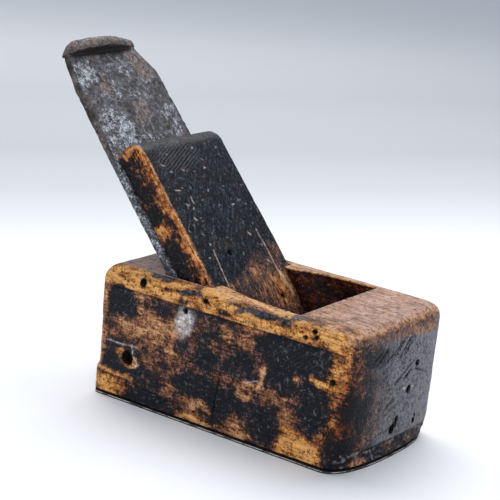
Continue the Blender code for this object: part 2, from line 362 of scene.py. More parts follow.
def write_masks(mesh, masks):
    """Keep each mask's values from 0 to 1 at the vertices, for the material to read."""
    for name, values in masks.items():
        mask = mesh.attributes.new(name, "FLOAT", "POINT")
        mask.data.foreach_set("value", np.clip(values, 0.0, 1.0).astype(np.float32))


def finish_piece(piece, node, body, material):
    """Dress a worn copy, attach it to its body and put it in its CAD node's place."""
    piece.data.materials.clear()
    piece.data.materials.append(material)
    piece.data.shade_smooth()
    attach(piece, body)
    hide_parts(node)


def roundness(normals):
    """0 on flat faces square to the frame, rising to 1 where an edge is rounded over."""
    return smoothstep(0.03, 0.28, 1.0 - np.abs(normals).max(axis=1))


# Shaders.

class Shader:
    """Builds one Principled material from short calls."""

    def __init__(self, name):
        self.material = bpy.data.materials.new(name)
        self.material.use_nodes = True
        self.tree = self.material.node_tree
        self.surface = self.tree.nodes["Principled BSDF"]
        self.place = self.node("ShaderNodeTexCoord").outputs["Object"]

    def node(self, kind, inputs=(), **settings):
        made = self.tree.nodes.new(kind)
        for name, value in settings.items():
            setattr(made, name, value)
        for key, value in dict(inputs).items():
            self.plug(value, made.inputs[key])
        return made

    def plug(self, value, socket):
        if isinstance(value, bpy.types.NodeSocket):
            self.tree.links.new(value, socket)
        elif isinstance(value, tuple) and len(value) == 3 and socket.type == "RGBA":
            socket.default_value = (*value, 1.0)
        else:
            socket.default_value = value

    def mask(self, name):
        return self.node("ShaderNodeAttribute", attribute_name=name).outputs["Fac"]

    def turned(self, scale, angle=(0.0, 0.0, 0.0)):
        """Object places turned first and then scaled, for noise that runs along the grain."""
        inputs = {"Vector": self.place, "Rotation": angle}
        level = self.node("ShaderNodeMapping", inputs).outputs["Vector"]
        return self.node("ShaderNodeMapping", {"Vector": level, "Scale": scale}).outputs["Vector"]

    def noise(self, scale, detail=3.0, roughness=0.6, vector=None):
        inputs = {
            "Vector": vector or self.place,
            "Scale": scale,
            "Detail": detail,
            "Roughness": roughness,
        }
        return self.node("ShaderNodeTexNoise", inputs).outputs["Fac"]

    def math(self, operation, first, second=0.0):
        return self.node("ShaderNodeMath", {0: first, 1: second}, operation=operation).outputs[0]

    def spread(self, value, low, high, to_low=0.0, to_high=1.0):
        """Turn the values from low to high into a new range, with soft ends."""
        inputs = {
            "Value": value,
            "From Min": low,
            "From Max": high,
            "To Min": to_low,
            "To Max": to_high,
        }
        made = self.node("ShaderNodeMapRange", inputs, interpolation_type="SMOOTHSTEP")
        return made.outputs["Result"]

    def add_noises(self, value, noises):
        """Add centred noises to a value and keep it from 0 to 1."""
        for texture, amount in noises:
            centred = self.math("SUBTRACT", texture, 0.5)
            value = self.math("ADD", value, self.math("MULTIPLY", centred, amount))
        return self.math("MAXIMUM", self.math("MINIMUM", value, 1.0), 0.0)

    def mix(self, share, first, second, blend="MIX"):
        made = self.node("ShaderNodeMix", data_type="RGBA", blend_type=blend)
        self.plug(share, made.inputs[0])
        self.plug(first, made.inputs[6])
        self.plug(second, made.inputs[7])
        return made.outputs[2]

    def ramp(self, value, stops):
        made = self.node("ShaderNodeValToRGB", {"Fac": value})
        elements = made.color_ramp.elements
        for i, (position, colour) in enumerate(stops):
            element = elements[i] if i < 2 else elements.new(position)
            element.position = position
            element.color = (*colour, 1.0)
        return made.outputs["Color"]

    def grey(self, value):
        return self.node("ShaderNodeCombineColor", {0: value, 1: value, 2: value}).outputs[0]

    def bump(self, height, distance, strength=1.0, normal=None):
        inputs = {"Height": height, "Distance": distance, "Strength": strength}
        if normal:
            inputs["Normal"] = normal
        return self.node("ShaderNodeBump", inputs).outputs["Normal"]

    def finish(self, colour, roughness, normal, metallic=0.0, specular=0.5):
        self.plug(colour, self.surface.inputs["Base Color"])
        self.plug(roughness, self.surface.inputs["Roughness"])
        self.plug(normal, self.surface.inputs["Normal"])
        self.plug(metallic, self.surface.inputs["Metallic"])
        self.plug(specular, self.surface.inputs["Specular IOR Level"])
        return self.material


def wood_noises(shader, turns):
    """The wood's textures: grain, rub marks and three sizes of mottling."""
    along = shader.turned((110.0, 900.0, 900.0), turns["grain"])
    across = shader.turned((160.0, 760.0, 760.0), turns["rub"])
    return {
        "grain": shader.noise(1.0, 4.0, 0.65, along),
        "rubs": shader.noise(1.0, 3.0, 0.7, across),
        "lumps": shader.noise(150.0, 4.0, 0.65),
        "flecks": shader.noise(480.0, 4.0, 0.75),
        "specks": shader.noise(1300.0, 3.0, 0.75),
    }


def mottle(shader, value, noises, **strengths):
    """Add the named noises to a value, each by its own strength."""
    return shader.add_noises(value, [(noises[name], strengths[name]) for name in strengths])


def bare_wood(shader, noises, grain):
    """Brown and golden wood that comes out of black patina as it wears."""
    worn = shader.mask("wear")
    worn = mottle(shader, worn, noises, lumps=0.50, flecks=1.05, grain=grain, rubs=0.60, specks=1.00)
    brown = shader.ramp(worn, BROWN_TONES)
    gold = shader.ramp(worn, GOLD_TONES)
    colour = shader.mix(shader.mask("gold"), brown, gold)
    streak = shader.grey(shader.spread(noises["grain"], 0.36, 0.64, 0.72, 1.22))
    colour = shader.mix(1.0, colour, streak, "MULTIPLY")
    return shader.mix(shader.mask("red"), colour, RED_TINT, "MULTIPLY")


def add_film(shader, noises, colour, polish_and_reflection_tones):
    """Dark polish over the wood, lifted toward bluish grey as painted reflection where its painted
    reflection mask is high.
    """
    thin = shader.spread(noises["flecks"], 0.34, 0.52, 0.45, 1.0)
    film = shader.math("MULTIPLY", shader.mask("film"), thin)
    # Painted reflection lightens the polish here.
    value = shader.math("ADD", shader.math("MULTIPLY", shader.mask("painted_sheen"), 0.22), 0.39)
    value = mottle(shader, value, noises, lumps=0.45, flecks=0.60, rubs=0.45, specks=0.9)
    return shader.mix(film, colour, shader.ramp(value, polish_and_reflection_tones))


def add_dust_and_sheen(shader, noises, colour):
    """Dry, dusty wood over the polish, mixed with a pale painted reflection on the top's flats."""
    thin = shader.spread(noises["flecks"], 0.32, 0.55, 0.5, 1.0)
    dust_and_sheen = shader.math("MULTIPLY", shader.mask("dust_and_sheen"), thin)
    value = mottle(shader, 0.5, noises, lumps=0.50, grain=0.8, flecks=0.45, specks=0.35)
    return shader.mix(dust_and_sheen, colour, shader.ramp(value, DUST_AND_SHEEN_TONES))


def add_pores(shader, noises, colour):
    """Black open pores, fewer of them in dusty wood and under its painted reflection."""
    pores = mottle(shader, noises["specks"], noises, flecks=0.9)
    pores = shader.spread(pores, 0.34, 0.45, 0.80, 0.0)
    clear = shader.spread(shader.mask("dust_and_sheen"), 0.0, 1.0, 1.0, 0.25)
    return shader.mix(shader.math("MULTIPLY", pores, clear), colour, BLACK)


def add_rub_marks_and_glints(shader, noises, colour):
    """Small grey rub marks and painted glints, showing only where the wood is darker than they are."""
    rubs_and_glints = mottle(shader, noises["flecks"], noises, specks=0.8, rubs=0.7)
    rubs_and_glints = shader.math("MULTIPLY", shader.spread(rubs_and_glints, 0.57, 0.75), 0.75)
    unstained = shader.spread(shader.mask("red"), 0.0, 1.0, 1.0, 0.1)
    return shader.mix(shader.math("MULTIPLY", rubs_and_glints, unstained), colour, RUB_AND_GLINT_COLOUR, "LIGHTEN")


def blade_ripples(shader, turn):
    """Close parallel ridges that a blade left, where the hatch mask is painted."""
    inputs = {
        "Vector": shader.turned((1.0, 1.0, 1.0), turn),
        "Scale": 225.0,
        "Distortion": 2.0,
        "Detail": 3.0,
    }
    waves = shader.node("ShaderNodeTexWave", inputs).outputs["Fac"]
    return shader.math("MULTIPLY", shader.mask("hatch"), shader.spread(waves, 0.55, 0.95))


def wood_material(name, polish_and_reflection_tones, turns, grain, relief):
    """Black patina worn through to brown and golden wood, guided by the painted masks."""
    shader = Shader(name)
    noises = wood_noises(shader, turns)
    flecks = noises["flecks"]
    specks = noises["specks"]
    ripples = blade_ripples(shader, turns["ripple"])
    colour = bare_wood(shader, noises, grain)
    colour = add_film(shader, noises, colour, polish_and_reflection_tones)
    colour = add_dust_and_sheen(shader, noises, colour)
    colour = add_pores(shader, noises, colour)
    colour = add_rub_marks_and_glints(shader, noises, colour)
    colour = shader.mix(shader.math("MULTIPLY", ripples, 0.21), colour, RIPPLE_COLOUR)
    pale = shader.math("MULTIPLY", shader.mask("pale"), shader.spread(specks, 0.35, 0.52, 0.35, 1.0))
    colour = shader.mix(pale, colour, shader.ramp(flecks, PALE_TONES))
    # Painted shade in holes and grooves: black, and fully rough.
    colour = shader.mix(shader.mask("pit"), colour, BLACK)
    roughness = shader.spread(flecks, 0.36, 0.64, 0.26, 0.60)
    roughness = shader.math("MAXIMUM", roughness, shader.mask("pit"))
    height = mottle(shader, noises["grain"], noises, flecks=1.0, rubs=0.7)
    height = shader.math("SUBTRACT", height, ripples)
    normal = shader.bump(height, relief, 0.9)
    normal = shader.bump(specks, 0.14 * MM, 0.8, normal)
    return shader.finish(colour, roughness, normal, specular=WOOD_SPECULAR)


def steel_material(name):
    """Old pitted steel: mottled greys, bright places that are flaked steel and painted reflection,
    brown rust, and black that is dirt and painted shadow.
    """
    shader = Shader(name)
    clouds = shader.noise(110.0, 4.0, 0.7)
    flecks = shader.noise(420.0, 5.0, 0.8)
    specks = shader.noise(1200.0, 3.0, 0.75)
    calm = shader.add_noises(0.50, ((clouds, 0.60), (flecks, 0.85), (specks, 0.70)))
    # Flaked places, lifted further by painted reflection.
    flaked = shader.add_noises(0.565, ((clouds, 0.70), (flecks, 1.50), (specks, 0.95)))
    share = shader.spread(shader.add_noises(shader.mask("bright"), ((clouds, 1.2),)), 0.05, 0.75)
    colour = shader.mix(share, shader.ramp(calm, IRON_TONES), shader.ramp(flaked, IRON_TONES))
    rust = shader.add_noises(shader.mask("rust"), ((clouds, 1.3), (flecks, 1.1)))
    rust = shader.spread(rust, 0.25, 0.55)
    rust_value = shader.add_noises(flecks, ((specks, 0.9),))
    colour = shader.mix(rust, colour, shader.ramp(rust_value, RUST_TONES))
    # Black dirt, and painted shadow under the lip.
    colour = shader.mix(shader.mask("grime_and_shadow"), colour, GRIME_AND_SHADOW)
    metallic = shader.spread(rust, 0.0, 1.0, 0.30, 0.0)
    roughness = shader.spread(flecks, 0.35, 0.65, 0.68, 0.46)
    normal = shader.bump(flecks, 0.55 * MM, 0.9)
    normal = shader.bump(specks, 0.18 * MM, 0.8, normal)
    return shader.finish(colour, roughness, normal, metallic, STEEL_SPECULAR)


def sole_material(name):
    """Dull dark steel, made near black as painted shade where it meets the floor, with a thin painted
    highlight along its edge.
    """
    shader = Shader(name)
    flecks = shader.noise(700.0, 4.0, 0.75)
    colour = shader.ramp(flecks, SOLE_STEEL_AND_SHADE_TONES)
    height = shader.node("ShaderNodeSeparateXYZ", {"Vector": shader.place}).outputs["Z"]
    begin, full, fade, end = (level * MM for level in SOLE_HIGHLIGHT)
    # The painted highlight along the plate's edge.
    line = shader.math(
        "MULTIPLY",
        shader.spread(height, begin, full),
        shader.spread(height, fade, end, 1.0, 0.0),
    )
    broken = shader.spread(shader.noise(160.0), 0.38, 0.54, 0.12, 1.0)
    colour = shader.mix(shader.math("MULTIPLY", line, broken), colour, SOLE_HIGHLIGHT_COLOUR)
    normal = shader.bump(flecks, 0.20 * MM, 0.8)
    return shader.finish(colour, 0.6, normal, specular=SOLE_SPECULAR)


# Stock. Places are in millimetres from the heel, the middle line and the sole.

# Heights of the line scribed under the upper edge and of the band round the toe's foot.
UPPER_LINE = 51.4
BAND_TOP = 8.6
# Worm holes: place, radius and depth.
HOLES = (
    (on_right(24.5, 56.4), 1.3, 2.6),
    (on_right(58.5, 56.4), 0.8, 1.6),
    (on_right(109.5, 54.2), 0.8, 1.6),
    (on_right(113.2, 58.0), 1.0, 2.0),
    (on_right(114.6, 55.6), 0.7, 1.8),
    (on_right(124.3, 39.2), 0.9, 2.4),
    (on_right(48.4, 49.6), 0.9, 1.3),
    (on_toe(14.0, 38.7), 1.1, 2.6),
    (on_toe(8.8, 28.4), 1.2, 2.6),
    (on_toe(16.2, 12.6), 0.8, 1.5),
    (on_toe(17.2, 14.6), 0.6, 1.2),
    (on_toe(-1.8, 12.8), 1.4, 2.8),
    (on_toe(0.3, 14.6), 1.1, 2.4),
    (on_toe(1.6, 16.8), 0.9, 2.0),
    (on_left(31.0, 44.0), 1.1, 2.4),
    (on_left(88.0, 22.0), 1.2, 2.4),
    (on_left(104.0, 47.0), 0.9, 1.8),
    (on_heel(12.0, 33.0), 1.1, 2.4),
    (on_heel(-15.0, 24.0), 0.9, 1.8),
)
RAGGED_HOLE = on_right(18.6, 20.6)
CRACK = (on_right(68.6, 25.0), on_right(66.4, 7.0))
# Cuts in the toe, from end to end.
TOE_SCRATCHES = (
    (on_toe(-6.0, 44.5), on_toe(1.5, 52.0)),
    (on_toe(-1.0, 44.5), on_toe(6.0, 51.5)),
    (on_toe(2.5, 45.0), on_toe(8.0, 50.0)),
    (on_toe(-11.0, 45.0), on_toe(-5.0, 47.5)),
    (on_toe(0.5, 35.0), on_toe(9.0, 39.5)),
    (on_toe(4.0, 34.0), on_toe(9.5, 37.0)),
    (on_toe(13.0, 36.5), on_toe(25.0, 32.0)),
    (on_toe(-5.0, 48.0), on_toe(3.0, 52.5)),
    (on_toe(2.0, 47.5), on_toe(7.5, 51.8)),
    (on_toe(-17.0, 45.5), on_toe(-11.0, 50.5)),
    (on_toe(-22.0, 46.0), on_toe(-16.0, 49.0)),
    (on_toe(-3.0, 33.0), on_toe(5.0, 37.5)),
    (on_toe(-8.0, 24.0), on_toe(-2.0, 27.0)),
)
# Pale scratches and fibres: both ends and how far they fade out to each side.
PALE_LINES = (
    (on_right(6.5, 26.2), on_right(16.0, 26.0), 0.675),
    (on_right(15.0, 26.3), on_right(23.5, 26.6), 0.42),
    (on_right(20.6, 27.5), on_right(21.8, 22.0), 0.36),
    (on_right(21.8, 22.0), on_right(24.8, 18.6), 0.39),
    (on_right(24.8, 18.6), on_right(21.5, 16.6), 0.45),
    (on_right(81.5, 27.0), on_right(88.0, 29.6), 0.33),
    (on_right(131.2, 50.2), on_right(131.8, 47.0), 0.9),
    (on_top(112.0, 23.0), on_top(113.0, 24.5), 0.9),
    (on_top(125.0, 11.0), on_top(126.5, 12.5), 1.05),
    (on_top(126.0, 4.0), on_top(126.6, 3.0), 0.9),
    (on_top(86.0, 31.0), on_top(98.0, 31.4), 0.45),
    (on_toe(4.5, 29.4), on_toe(12.5, 28.8), 0.525),
    (on_toe(-17.0, 8.0), on_toe(-12.0, 0.5), 0.525),
)

# Patches of wear: place, sizes along X, Y and Z in millimetres, and how much bare wood they add.
WEAR_PATCHES = (
    (on_right(68, 39), (12, 6, 10), 0.045),
    (on_right(33, 47), (6, 6, 4), 0.05),
    (on_right(13.5, 45.6), (8.4, 6, 5.8), -0.60),
    (on_right(3.0, 33), (2.8, 5, 21), 0.34),
    (on_right(33, 47.5), (9, 5, 3.4), -0.12),
    (on_right(24, 45), (1.8, 5, 4.5), 0.32),
    (on_right(20, 36), (11, 5, 5.5), 0.24),
    (on_right(37, 36), (9, 5, 8), 0.30),
    (on_right(44, 27), (5, 5, 5), 0.16),
    (on_right(17, 19), (13, 5, 5.5), -0.30),
    (on_right(13, 25), (9, 5, 2.2), -0.25),
    (on_right(18.8, 20.5), (6.0, 5, 4.4), 0.58),
    (on_right(10, 5.2), (10, 5, 4.4), 0.36),
    (on_right(13, 11.9), (12, 5, 1.4), 0.38),
    (on_right(31, 5.6), (11.5, 5, 3.0), -0.48),
    (on_right(56, 2.6), (10, 5, 2.2), 0.40),
    (on_right(59, 10.2), (7, 5, 1.7), 0.40),
    (on_right(55, 18), (11, 5, 5), -0.30),
    (on_right(48, 33), (3.6, 5, 4.5), -0.32),
    (on_right(64.6, 37.5), (2.2, 5, 3.6), 0.42),
    (on_right(66, 28), (2.6, 5, 2.6), 0.26),
    (on_right(58, 47), (4, 5, 4), 0.08),
    (on_right(70, 45), (3, 5, 3.6), 0.30),
    (on_right(82, 44.5), (5, 5, 2.8), 0.34),
    (on_right(90.3, 32.5), (1.8, 5, 5.5), 0.40),
    (on_right(85, 27.5), (5, 5, 1.6), 0.36),
    (on_right(82, 22), (4.0, 5, 3.8), 0.38),
    (on_right(82, 3.9), (5.5, 5, 2.6), 0.36),
    (on_right(72, 15), (10, 5, 5), -0.22),
    (on_right(88, 14), (8, 5, 6), -0.16),
    (on_right(104, 45.3), (18, 5, 6.4), -0.48),
    (on_right(98.5, 34.5), (7, 5, 6), -0.36),
    (on_right(116, 26), (6.5, 5, 11), -0.50),
    (on_right(105.4, 36.2), (1.8, 5, 2.8), 0.46),
    (on_right(99.5, 25), (5, 5, 3), 0.26),
    (on_right(102.8, 17), (2.4, 5, 5), 0.30),
    (on_right(111, 6.6), (11.5, 5, 6.0), 0.44),
    (on_right(118.6, 38.0), (2.6, 5, 2.0), 0.75),
    (on_right(115.0, 40.0), (1.3, 5, 1.8), 0.60),
    (on_right(125.5, 36), (4.4, 5, 14), 0.26),
    (on_right(128.5, 19), (5, 6, 4), 0.08),
    (on_right(122.5, 11), (1.5, 5, 4), 0.12),
    (on_right(129, 8), (7, 9, 8), -0.50),
    (on_right(94, 12), (7, 5, 8), -0.22),
    (on_right(62, 31), (6, 5, 4), -0.20),
    (on_right(79, 36), (6, 5, 4), -0.25),
    (on_toe(-33, 30), (7, 5, 7), -0.30),
    (on_toe(-31, 45), (7, 6, 9), 0.08),
    (on_toe(-18, 47.5), (9, 9, 4.5), -0.30),
    (on_toe(-25, 27), (9, 5, 6), -0.35),
    (on_toe(-31, 36), (7, 6, 20), 0.03),
    (on_toe(-30, 20), (7, 6, 9), -0.16),
    (on_toe(-24, 4.0), (9, 8, 1.3), 0.42),
    (on_toe(15, 4.6), (9, 10, 0.8), 0.20),
    (on_top(34, -33.5), (28, 3.2, 4), 0.34),
    (on_top(10, -33), (5, 3, 4), 0.25),
    (on_left(40, 40), (16, 5, 6), -0.35),
    (on_left(96, 30), (14, 5, 12), -0.30),
    (on_left(20, 8), (14, 5, 5), 0.35),
    (on_left(70, 22), (12, 5, 8), 0.25),
    (on_left(118, 12), (10, 5, 6), 0.35),
    (on_heel(0, 38), (4, 18, 8), -0.25),
    (on_heel(10, 7), (4, 16, 4), 0.30),
)
# The same for the golden tone, for red stains and for a blade's ripples.
GOLD_PATCHES = (
    (on_right(10, 5), (13, 6, 8), 1.0),
    (on_right(60, 4), (12, 6, 3), 0.5),
    (on_right(111, 7), (14, 6, 8), 1.0),
    (on_right(125, 30), (6, 6, 24), 0.9),
    (on_right(118, 38), (4, 6, 3), 1.0),
    (on_right(18.6, 20.5), (7, 6, 6), 0.5),
    (on_top(34, -33.5), (30, 4, 5), 0.8),
    (on_left(20, 8), (15, 6, 7), 1.0),
    (on_left(118, 12), (12, 6, 8), 1.0),
)
RED_PATCHES = (
    (on_right(125, 12), (7, 6, 10), 0.25),
    (on_right(131, 26), (5, 7, 22), 0.35),
    (on_toe(-31, 20), (8, 6, 26), 0.40),
)
HATCH_PATCHES = (
    (on_right(107, 45), (13, 4, 4.5), 0.28),
    (on_right(97, 36), (7, 4, 5), 0.15),
    (on_top(110, -15), (8, 7, 4), 0.30),
    (on_left(60, 40), (12, 4, 6), 0.40),
)
# Gaps in the dark polish of the toe: place and sizes.
TOE_STAINS = (
    (on_toe(-18, 47.5), (9, 9, 4.5)),
    (on_toe(-25, 27), (9, 5, 6)),
)
SCUFF = on_right(48.6, 44.5)


def in_throat(points):
    """1 inside the throat, where no hand rubs."""
    inside = np.abs(points[:, 1]) < 30.1 * MM
    behind = points[:, 0] < HEEL + 102.2 * MM
    before = (points - BED_TOP) @ BED_OUT > -0.7 * MM
    below = points[:, 2] < TOP - 0.7 * MM
    return (inside & behind & before & below).astype(float)


def scribed(points, side, upper_width, foot_width):
    """The line along a side's upper edge and the one that runs down to its foot."""
    upper = groove(points, side(9, UPPER_LINE), side(127, UPPER_LINE), upper_width)
    foot = groove(points, side(2, 10.2), side(28, 9.6), foot_width)
    return upper, np.maximum(foot, groove(points, side(28, 9.6), side(66, 3.5), foot_width))


def sculpt_stock(points, normals, inner):
    """Dents, chips, holes, scribed lines, the crack and the worn far corner of the toe."""
    outer = 1.0 - inner
    move = layered_noise(points, 26 * MM, 11, 2) * 0.28 * MM * outer
    move += layered_noise(points, 4.0 * MM, 21, 3, (3.0, 1.0, 1.0)) * 0.12 * MM * outer
    chips = np.maximum(0.0, layered_noise(points, 5.0 * MM, 31, 2) - 0.15)
    move -= chips * roundness(normals) * 1.2 * MM * outer
    wobble = value_noise(points, 9 * MM, 41)[:, None] * 0.25 * MM
    shifted = points + wobble * np.array((0.0, 0.0, 1.0))
    for side in (on_right, on_left):
        upper, foot = scribed(shifted, side, 0.75 * MM, 0.7 * MM)
        move -= (upper * 0.42 + foot * 0.34) * MM * outer
    ragged = warped(points, 2.0 * MM, 0.5 * MM, 45)
    for centre, radius, depth in HOLES:
        move -= blob(ragged, centre, (radius * MM,) * 3, 0.15) * depth * MM
    move -= blob(ragged, RAGGED_HOLE, (2.6 * MM,) * 3, 0.12) * 3.5 * MM
    move -= groove(ragged, *CRACK, 0.55 * MM) * 0.6 * MM
    for scratch in TOE_SCRATCHES:
        move -= groove(points, *scratch, 0.65 * MM) * 0.5 * MM
    from_toe, across, height = ((points - (TOE, 0.0, 0.0)) / MM).T
    corner = smoothstep(14, 34, across) * smoothstep(-14, -4, from_toe)
    corner *= smoothstep(6, 18, height) * (1.0 - smoothstep(28, 56, height))
    move -= corner * 0.5 * MM
    band = smoothstep(0.6, 0.9, normals[:, 0]) * (points[:, 2] < BAND_TOP * MM) * outer
    move -= band * (0.25 + 0.35 * value_noise(points, 1.6 * MM, 47)) * MM
    return points + normals * move[:, None]


def stock_zones(points, normals, inner):
    """The stock's faces as soft masks."""
    outer = 1.0 - inner
    along = (points[:, 0] - HEEL) / MM
    across = points[:, 1] / MM
    height = points[:, 2] / MM
    side = smoothstep(0.5, 0.9, np.abs(normals[:, 1])) * outer
    top = smoothstep(0.6, 0.95, normals[:, 2]) * outer
    toe = smoothstep(0.45, 0.85, normals[:, 0]) * outer
    edge = roundness(normals) * outer * (height > 12)
    toe_line = height + 0.08 * across + 0.7 * layered_noise(points, 5.0 * MM, 85, 3)
    return {
        "side": side,
        "toe": toe,
        "edge": edge * (1.0 - 0.75 * smoothstep(122, 127, along) * (height < 47)),
        "strip": side * smoothstep(UPPER_LINE, UPPER_LINE + 0.6, height),
        "front_flat": top * smoothstep(99, 101, along),
        "heel_flat": top * (1.0 - smoothstep(52, 56, along)) * (np.abs(across) < 31.5),
        "rim": top * smoothstep(52, 56, along) * (1.0 - smoothstep(99, 101, along)),
        "toe_top": smoothstep(0.3, 0.6, normals[:, 0]) * outer * smoothstep(52.4, 53.2, toe_line),
        "foot_band": toe * (height < BAND_TOP),
    }


def rim_band(points, ragged, zones):
    """The dark scuffed band, broken into blotches, along the near upper edge."""
    along = (points[:, 0] - HEEL) / MM
    blotches = smoothstep(-0.26, 0.04, layered_noise(points, 6 * MM, 96, 3, (2.5, 1.0, 1.0)))
    band = smoothstep(56.0, 57.2, ragged[:, 2] / MM) * smoothstep(24, 30, along) * (1.0 - zones["rim"])
    band *= smoothstep(-29.5, -31.0, points[:, 1] / MM) * (1.0 - 0.55 * smoothstep(84, 96, along))
    return band * blotches * (1.0 - smoothstep(100, 108, along))


def stock_wear(points, ragged, inner, zones):
    """How far the patina is worn off, from black at 0 to pale wood at 1."""
    wear = 0.41 + 0.34 * layered_noise(points, 9 * MM, 51, 4)
    wear += 0.27 * layered_noise(points, 3 * MM, 91, 3, (2.0, 1.0, 1.0))
    wear += smoothstep(0.0, 10.0, points[:, 1] / MM) * 0.2 * layered_noise(points, 19 * MM, 61, 2)
    wear = paint(ragged, wear, WEAR_PATCHES)
    wear += 0.42 * np.maximum(zones["edge"], zones["strip"])
    wear += 0.50 * zones["strip"] * layered_noise(points, 2.4 * MM, 101, 2, (2.0, 1.0, 1.0))
    wear += 0.36 * zones["rim"] * layered_noise(points, 2.6 * MM, 105, 3, (2.0, 1.0, 1.0))
    wear += 0.57 * zones["rim"] + 0.30 * zones["front_flat"] + 0.05 * zones["toe_top"]
    wear -= 0.85 * rim_band(points, ragged, zones)
    wear -= 0.10 * zones["foot_band"]
    return wear * (1.0 - inner) + inner * (0.40 + 0.16 * layered_noise(points, 8 * MM, 71, 3))


def stock_film(points, ragged, zones):
    """Where dark polish covers the wood: most of the toe and the flat behind the iron."""
    across = ragged[:, 1] / MM
    film = zones["toe"] * smoothstep(-25, -11, across) * (1.0 - zones["toe_top"])
    film *= smoothstep(BAND_TOP - 0.6, BAND_TOP + 0.4, points[:, 2] / MM)
    film *= 0.97 - 0.35 * blob(ragged, on_toe(-16, 28), (9 * MM, 9 * MM, 14 * MM))
    for centre, size in TOE_STAINS:
        film *= 1.0 - 0.75 * blob(ragged, centre, np.array(size) * MM)
    film += zones["heel_flat"] * 0.92 + 0.45 * rim_band(points, ragged, zones)
    behind = 1.0 - smoothstep(101, 108, (ragged[:, 0] - HEEL) / MM)
    return film + zones["front_flat"] * 0.55 * behind * smoothstep(12, -8, across)


def stock_recess_shade(points):
    """Painted shade: black insides of the holes, the crack, the cuts and the scribed lines."""
    ragged = warped(points, 2.0 * MM, 0.5 * MM, 45)
    pits = blob(ragged, RAGGED_HOLE, (3.3 * MM,) * 3, 0.12)
    for centre, radius, _ in HOLES:
        pits = np.maximum(pits, blob(ragged, centre, (radius * 1.6 * MM,) * 3, 0.15))
    pits = np.maximum(pits, groove(points, *CRACK, 0.9 * MM))
    for scratch in TOE_SCRATCHES:
        pits = np.maximum(pits, groove(points, *scratch, 0.8 * MM) * 0.9)
    broken = smoothstep(-0.5, 0.2, value_noise(points, 6 * MM, 49))
    for side in (on_right, on_left):
        upper, foot = scribed(points, side, 0.6 * MM, 0.5 * MM)
        pits = np.maximum(pits, (upper * 0.6 + foot * 0.7) * broken)
    foot_line = on_toe(-20, BAND_TOP), on_toe(27, BAND_TOP)
    return np.maximum(pits, groove(warped(points, 6 * MM, 0.5 * MM, 46), *foot_line, 0.8 * MM))


def stock_pale(points, ragged, zones):
    """Scuffs, fibres and scratches that show pale."""
    scuff = blob(ragged, SCUFF, (4.6 * MM, 4 * MM, 6.0 * MM), 0.5)
    pale = scuff * (1.0 + 0.35 * value_noise(points, 1.2 * MM, 98))
    crumbs = smoothstep(0.30, 0.55, value_noise(points, 1.1 * MM, 99, (2.0, 2.0, 1.0)))
    pale = np.maximum(pale, crumbs * zones["foot_band"] * 0.3)
    for start, end, half_width in PALE_LINES:
        pale = np.maximum(pale, groove(points, start, end, half_width * MM))
    return pale


def stock_dust_and_sheen(points, zones):
    """Dry bare wood on the top's flats, lightened by painted reflection."""
    far_rim = zones["rim"] * smoothstep(20, 26, points[:, 1] / MM)
    dust_and_sheen = zones["front_flat"] * smoothstep(-31, -20, points[:, 1] / MM) * 0.92 + far_rim * 0.6
    ragged = warped(points, 5 * MM, 3 * MM, 151)
    dust_and_sheen *= 1.0 - 0.6 * blob(ragged, on_top(101, -16), (8 * MM, 22 * MM, 5 * MM))
    return dust_and_sheen + zones["heel_flat"] * 0.70 + zones["toe_top"] * 0.30


def stock_painted_sheen(points, zones):
    """Painted reflection on the dark polish, how much lighter it shows: the most at the toe's far side
    and behind the iron.
    """
    far = smoothstep(-30, 30, points[:, 1] / MM)
    return 0.45 + 0.45 * far * zones["toe"] + 0.6 * zones["heel_flat"]


def stock_masks(points, normals, inner):
    """Every mask that the wood's material reads, for the stock."""
    ragged = warped(points, 5.0 * MM, 2.6 * MM, 81)
    zones = stock_zones(points, normals, inner)
    bright = np.maximum(zones["edge"] * (1.0 - 0.8 * zones["toe_top"]), zones["strip"])
    return {
        "wear": stock_wear(points, ragged, inner, zones),
        "gold": paint(ragged, np.maximum(bright * 0.95, zones["rim"] * 0.4), GOLD_PATCHES),
        "red": paint(ragged, inner, RED_PATCHES),
        "film": stock_film(points, ragged, zones),
        "dust_and_sheen": stock_dust_and_sheen(points, zones),
        "pale": stock_pale(points, ragged, zones),
        "pit": stock_recess_shade(points),
        "painted_sheen": stock_painted_sheen(points, zones),
        "hatch": paint(ragged, np.zeros(len(ragged)), HATCH_PATCHES),
    }


def build_stock(material):
    piece = fine_copy("stock", "worn_stock", STOCK_VOXEL, 3)
    points = read_points(piece.data)
    normals = read_normals(piece.data)
    inner = in_throat(points)
    write_points(piece.data, sculpt_stock(points, normals, inner))
    write_masks(piece.data, stock_masks(points, normals, inner))
    finish_piece(piece, "stock", "stock", material)


# Wedge and iron. Their places are in millimetres up the bed from the stock's top, across, and
# out from the bed.

def bed_places(points):
    offset = points - BED_TOP
    return np.stack([offset @ BED_UP, points[:, 1], offset @ BED_OUT], axis=1) / MM


# Wear on the wedge: place, sizes and how much bare wood they add.
WEDGE_PATCHES = (
    ((44, -28, 5.5), (10, 4, 3.4), -0.50),
    ((36, -28, 8.5), (8, 4, 3.0), -0.30),
    ((23.5, -28, 8), (4.2, 4, 5.2), -0.75),
    ((14, -28, 7), (6.5, 4, 4.5), 0.42),
    ((0, -28, 7), (11, 4, 5.8), -0.62),
    ((20, -28, 15.0), (40, 4, 2.4), 0.12),
    ((53.5, -28, 10), (2.2, 4, 8), 0.30),
    ((-20, 6, 18.5), (9, 12, 7), 0.14),
    ((-27, 14, 18.5), (9, 14, 7), 0.16),
    ((-17, -15, 18.5), (3, 3, 7), 0.25),
    ((-26, 19, 18.5), (9, 6, 7), 0.14),
    ((49.5, 2, 18.5), (1.2, 9, 4), 0.25),
)
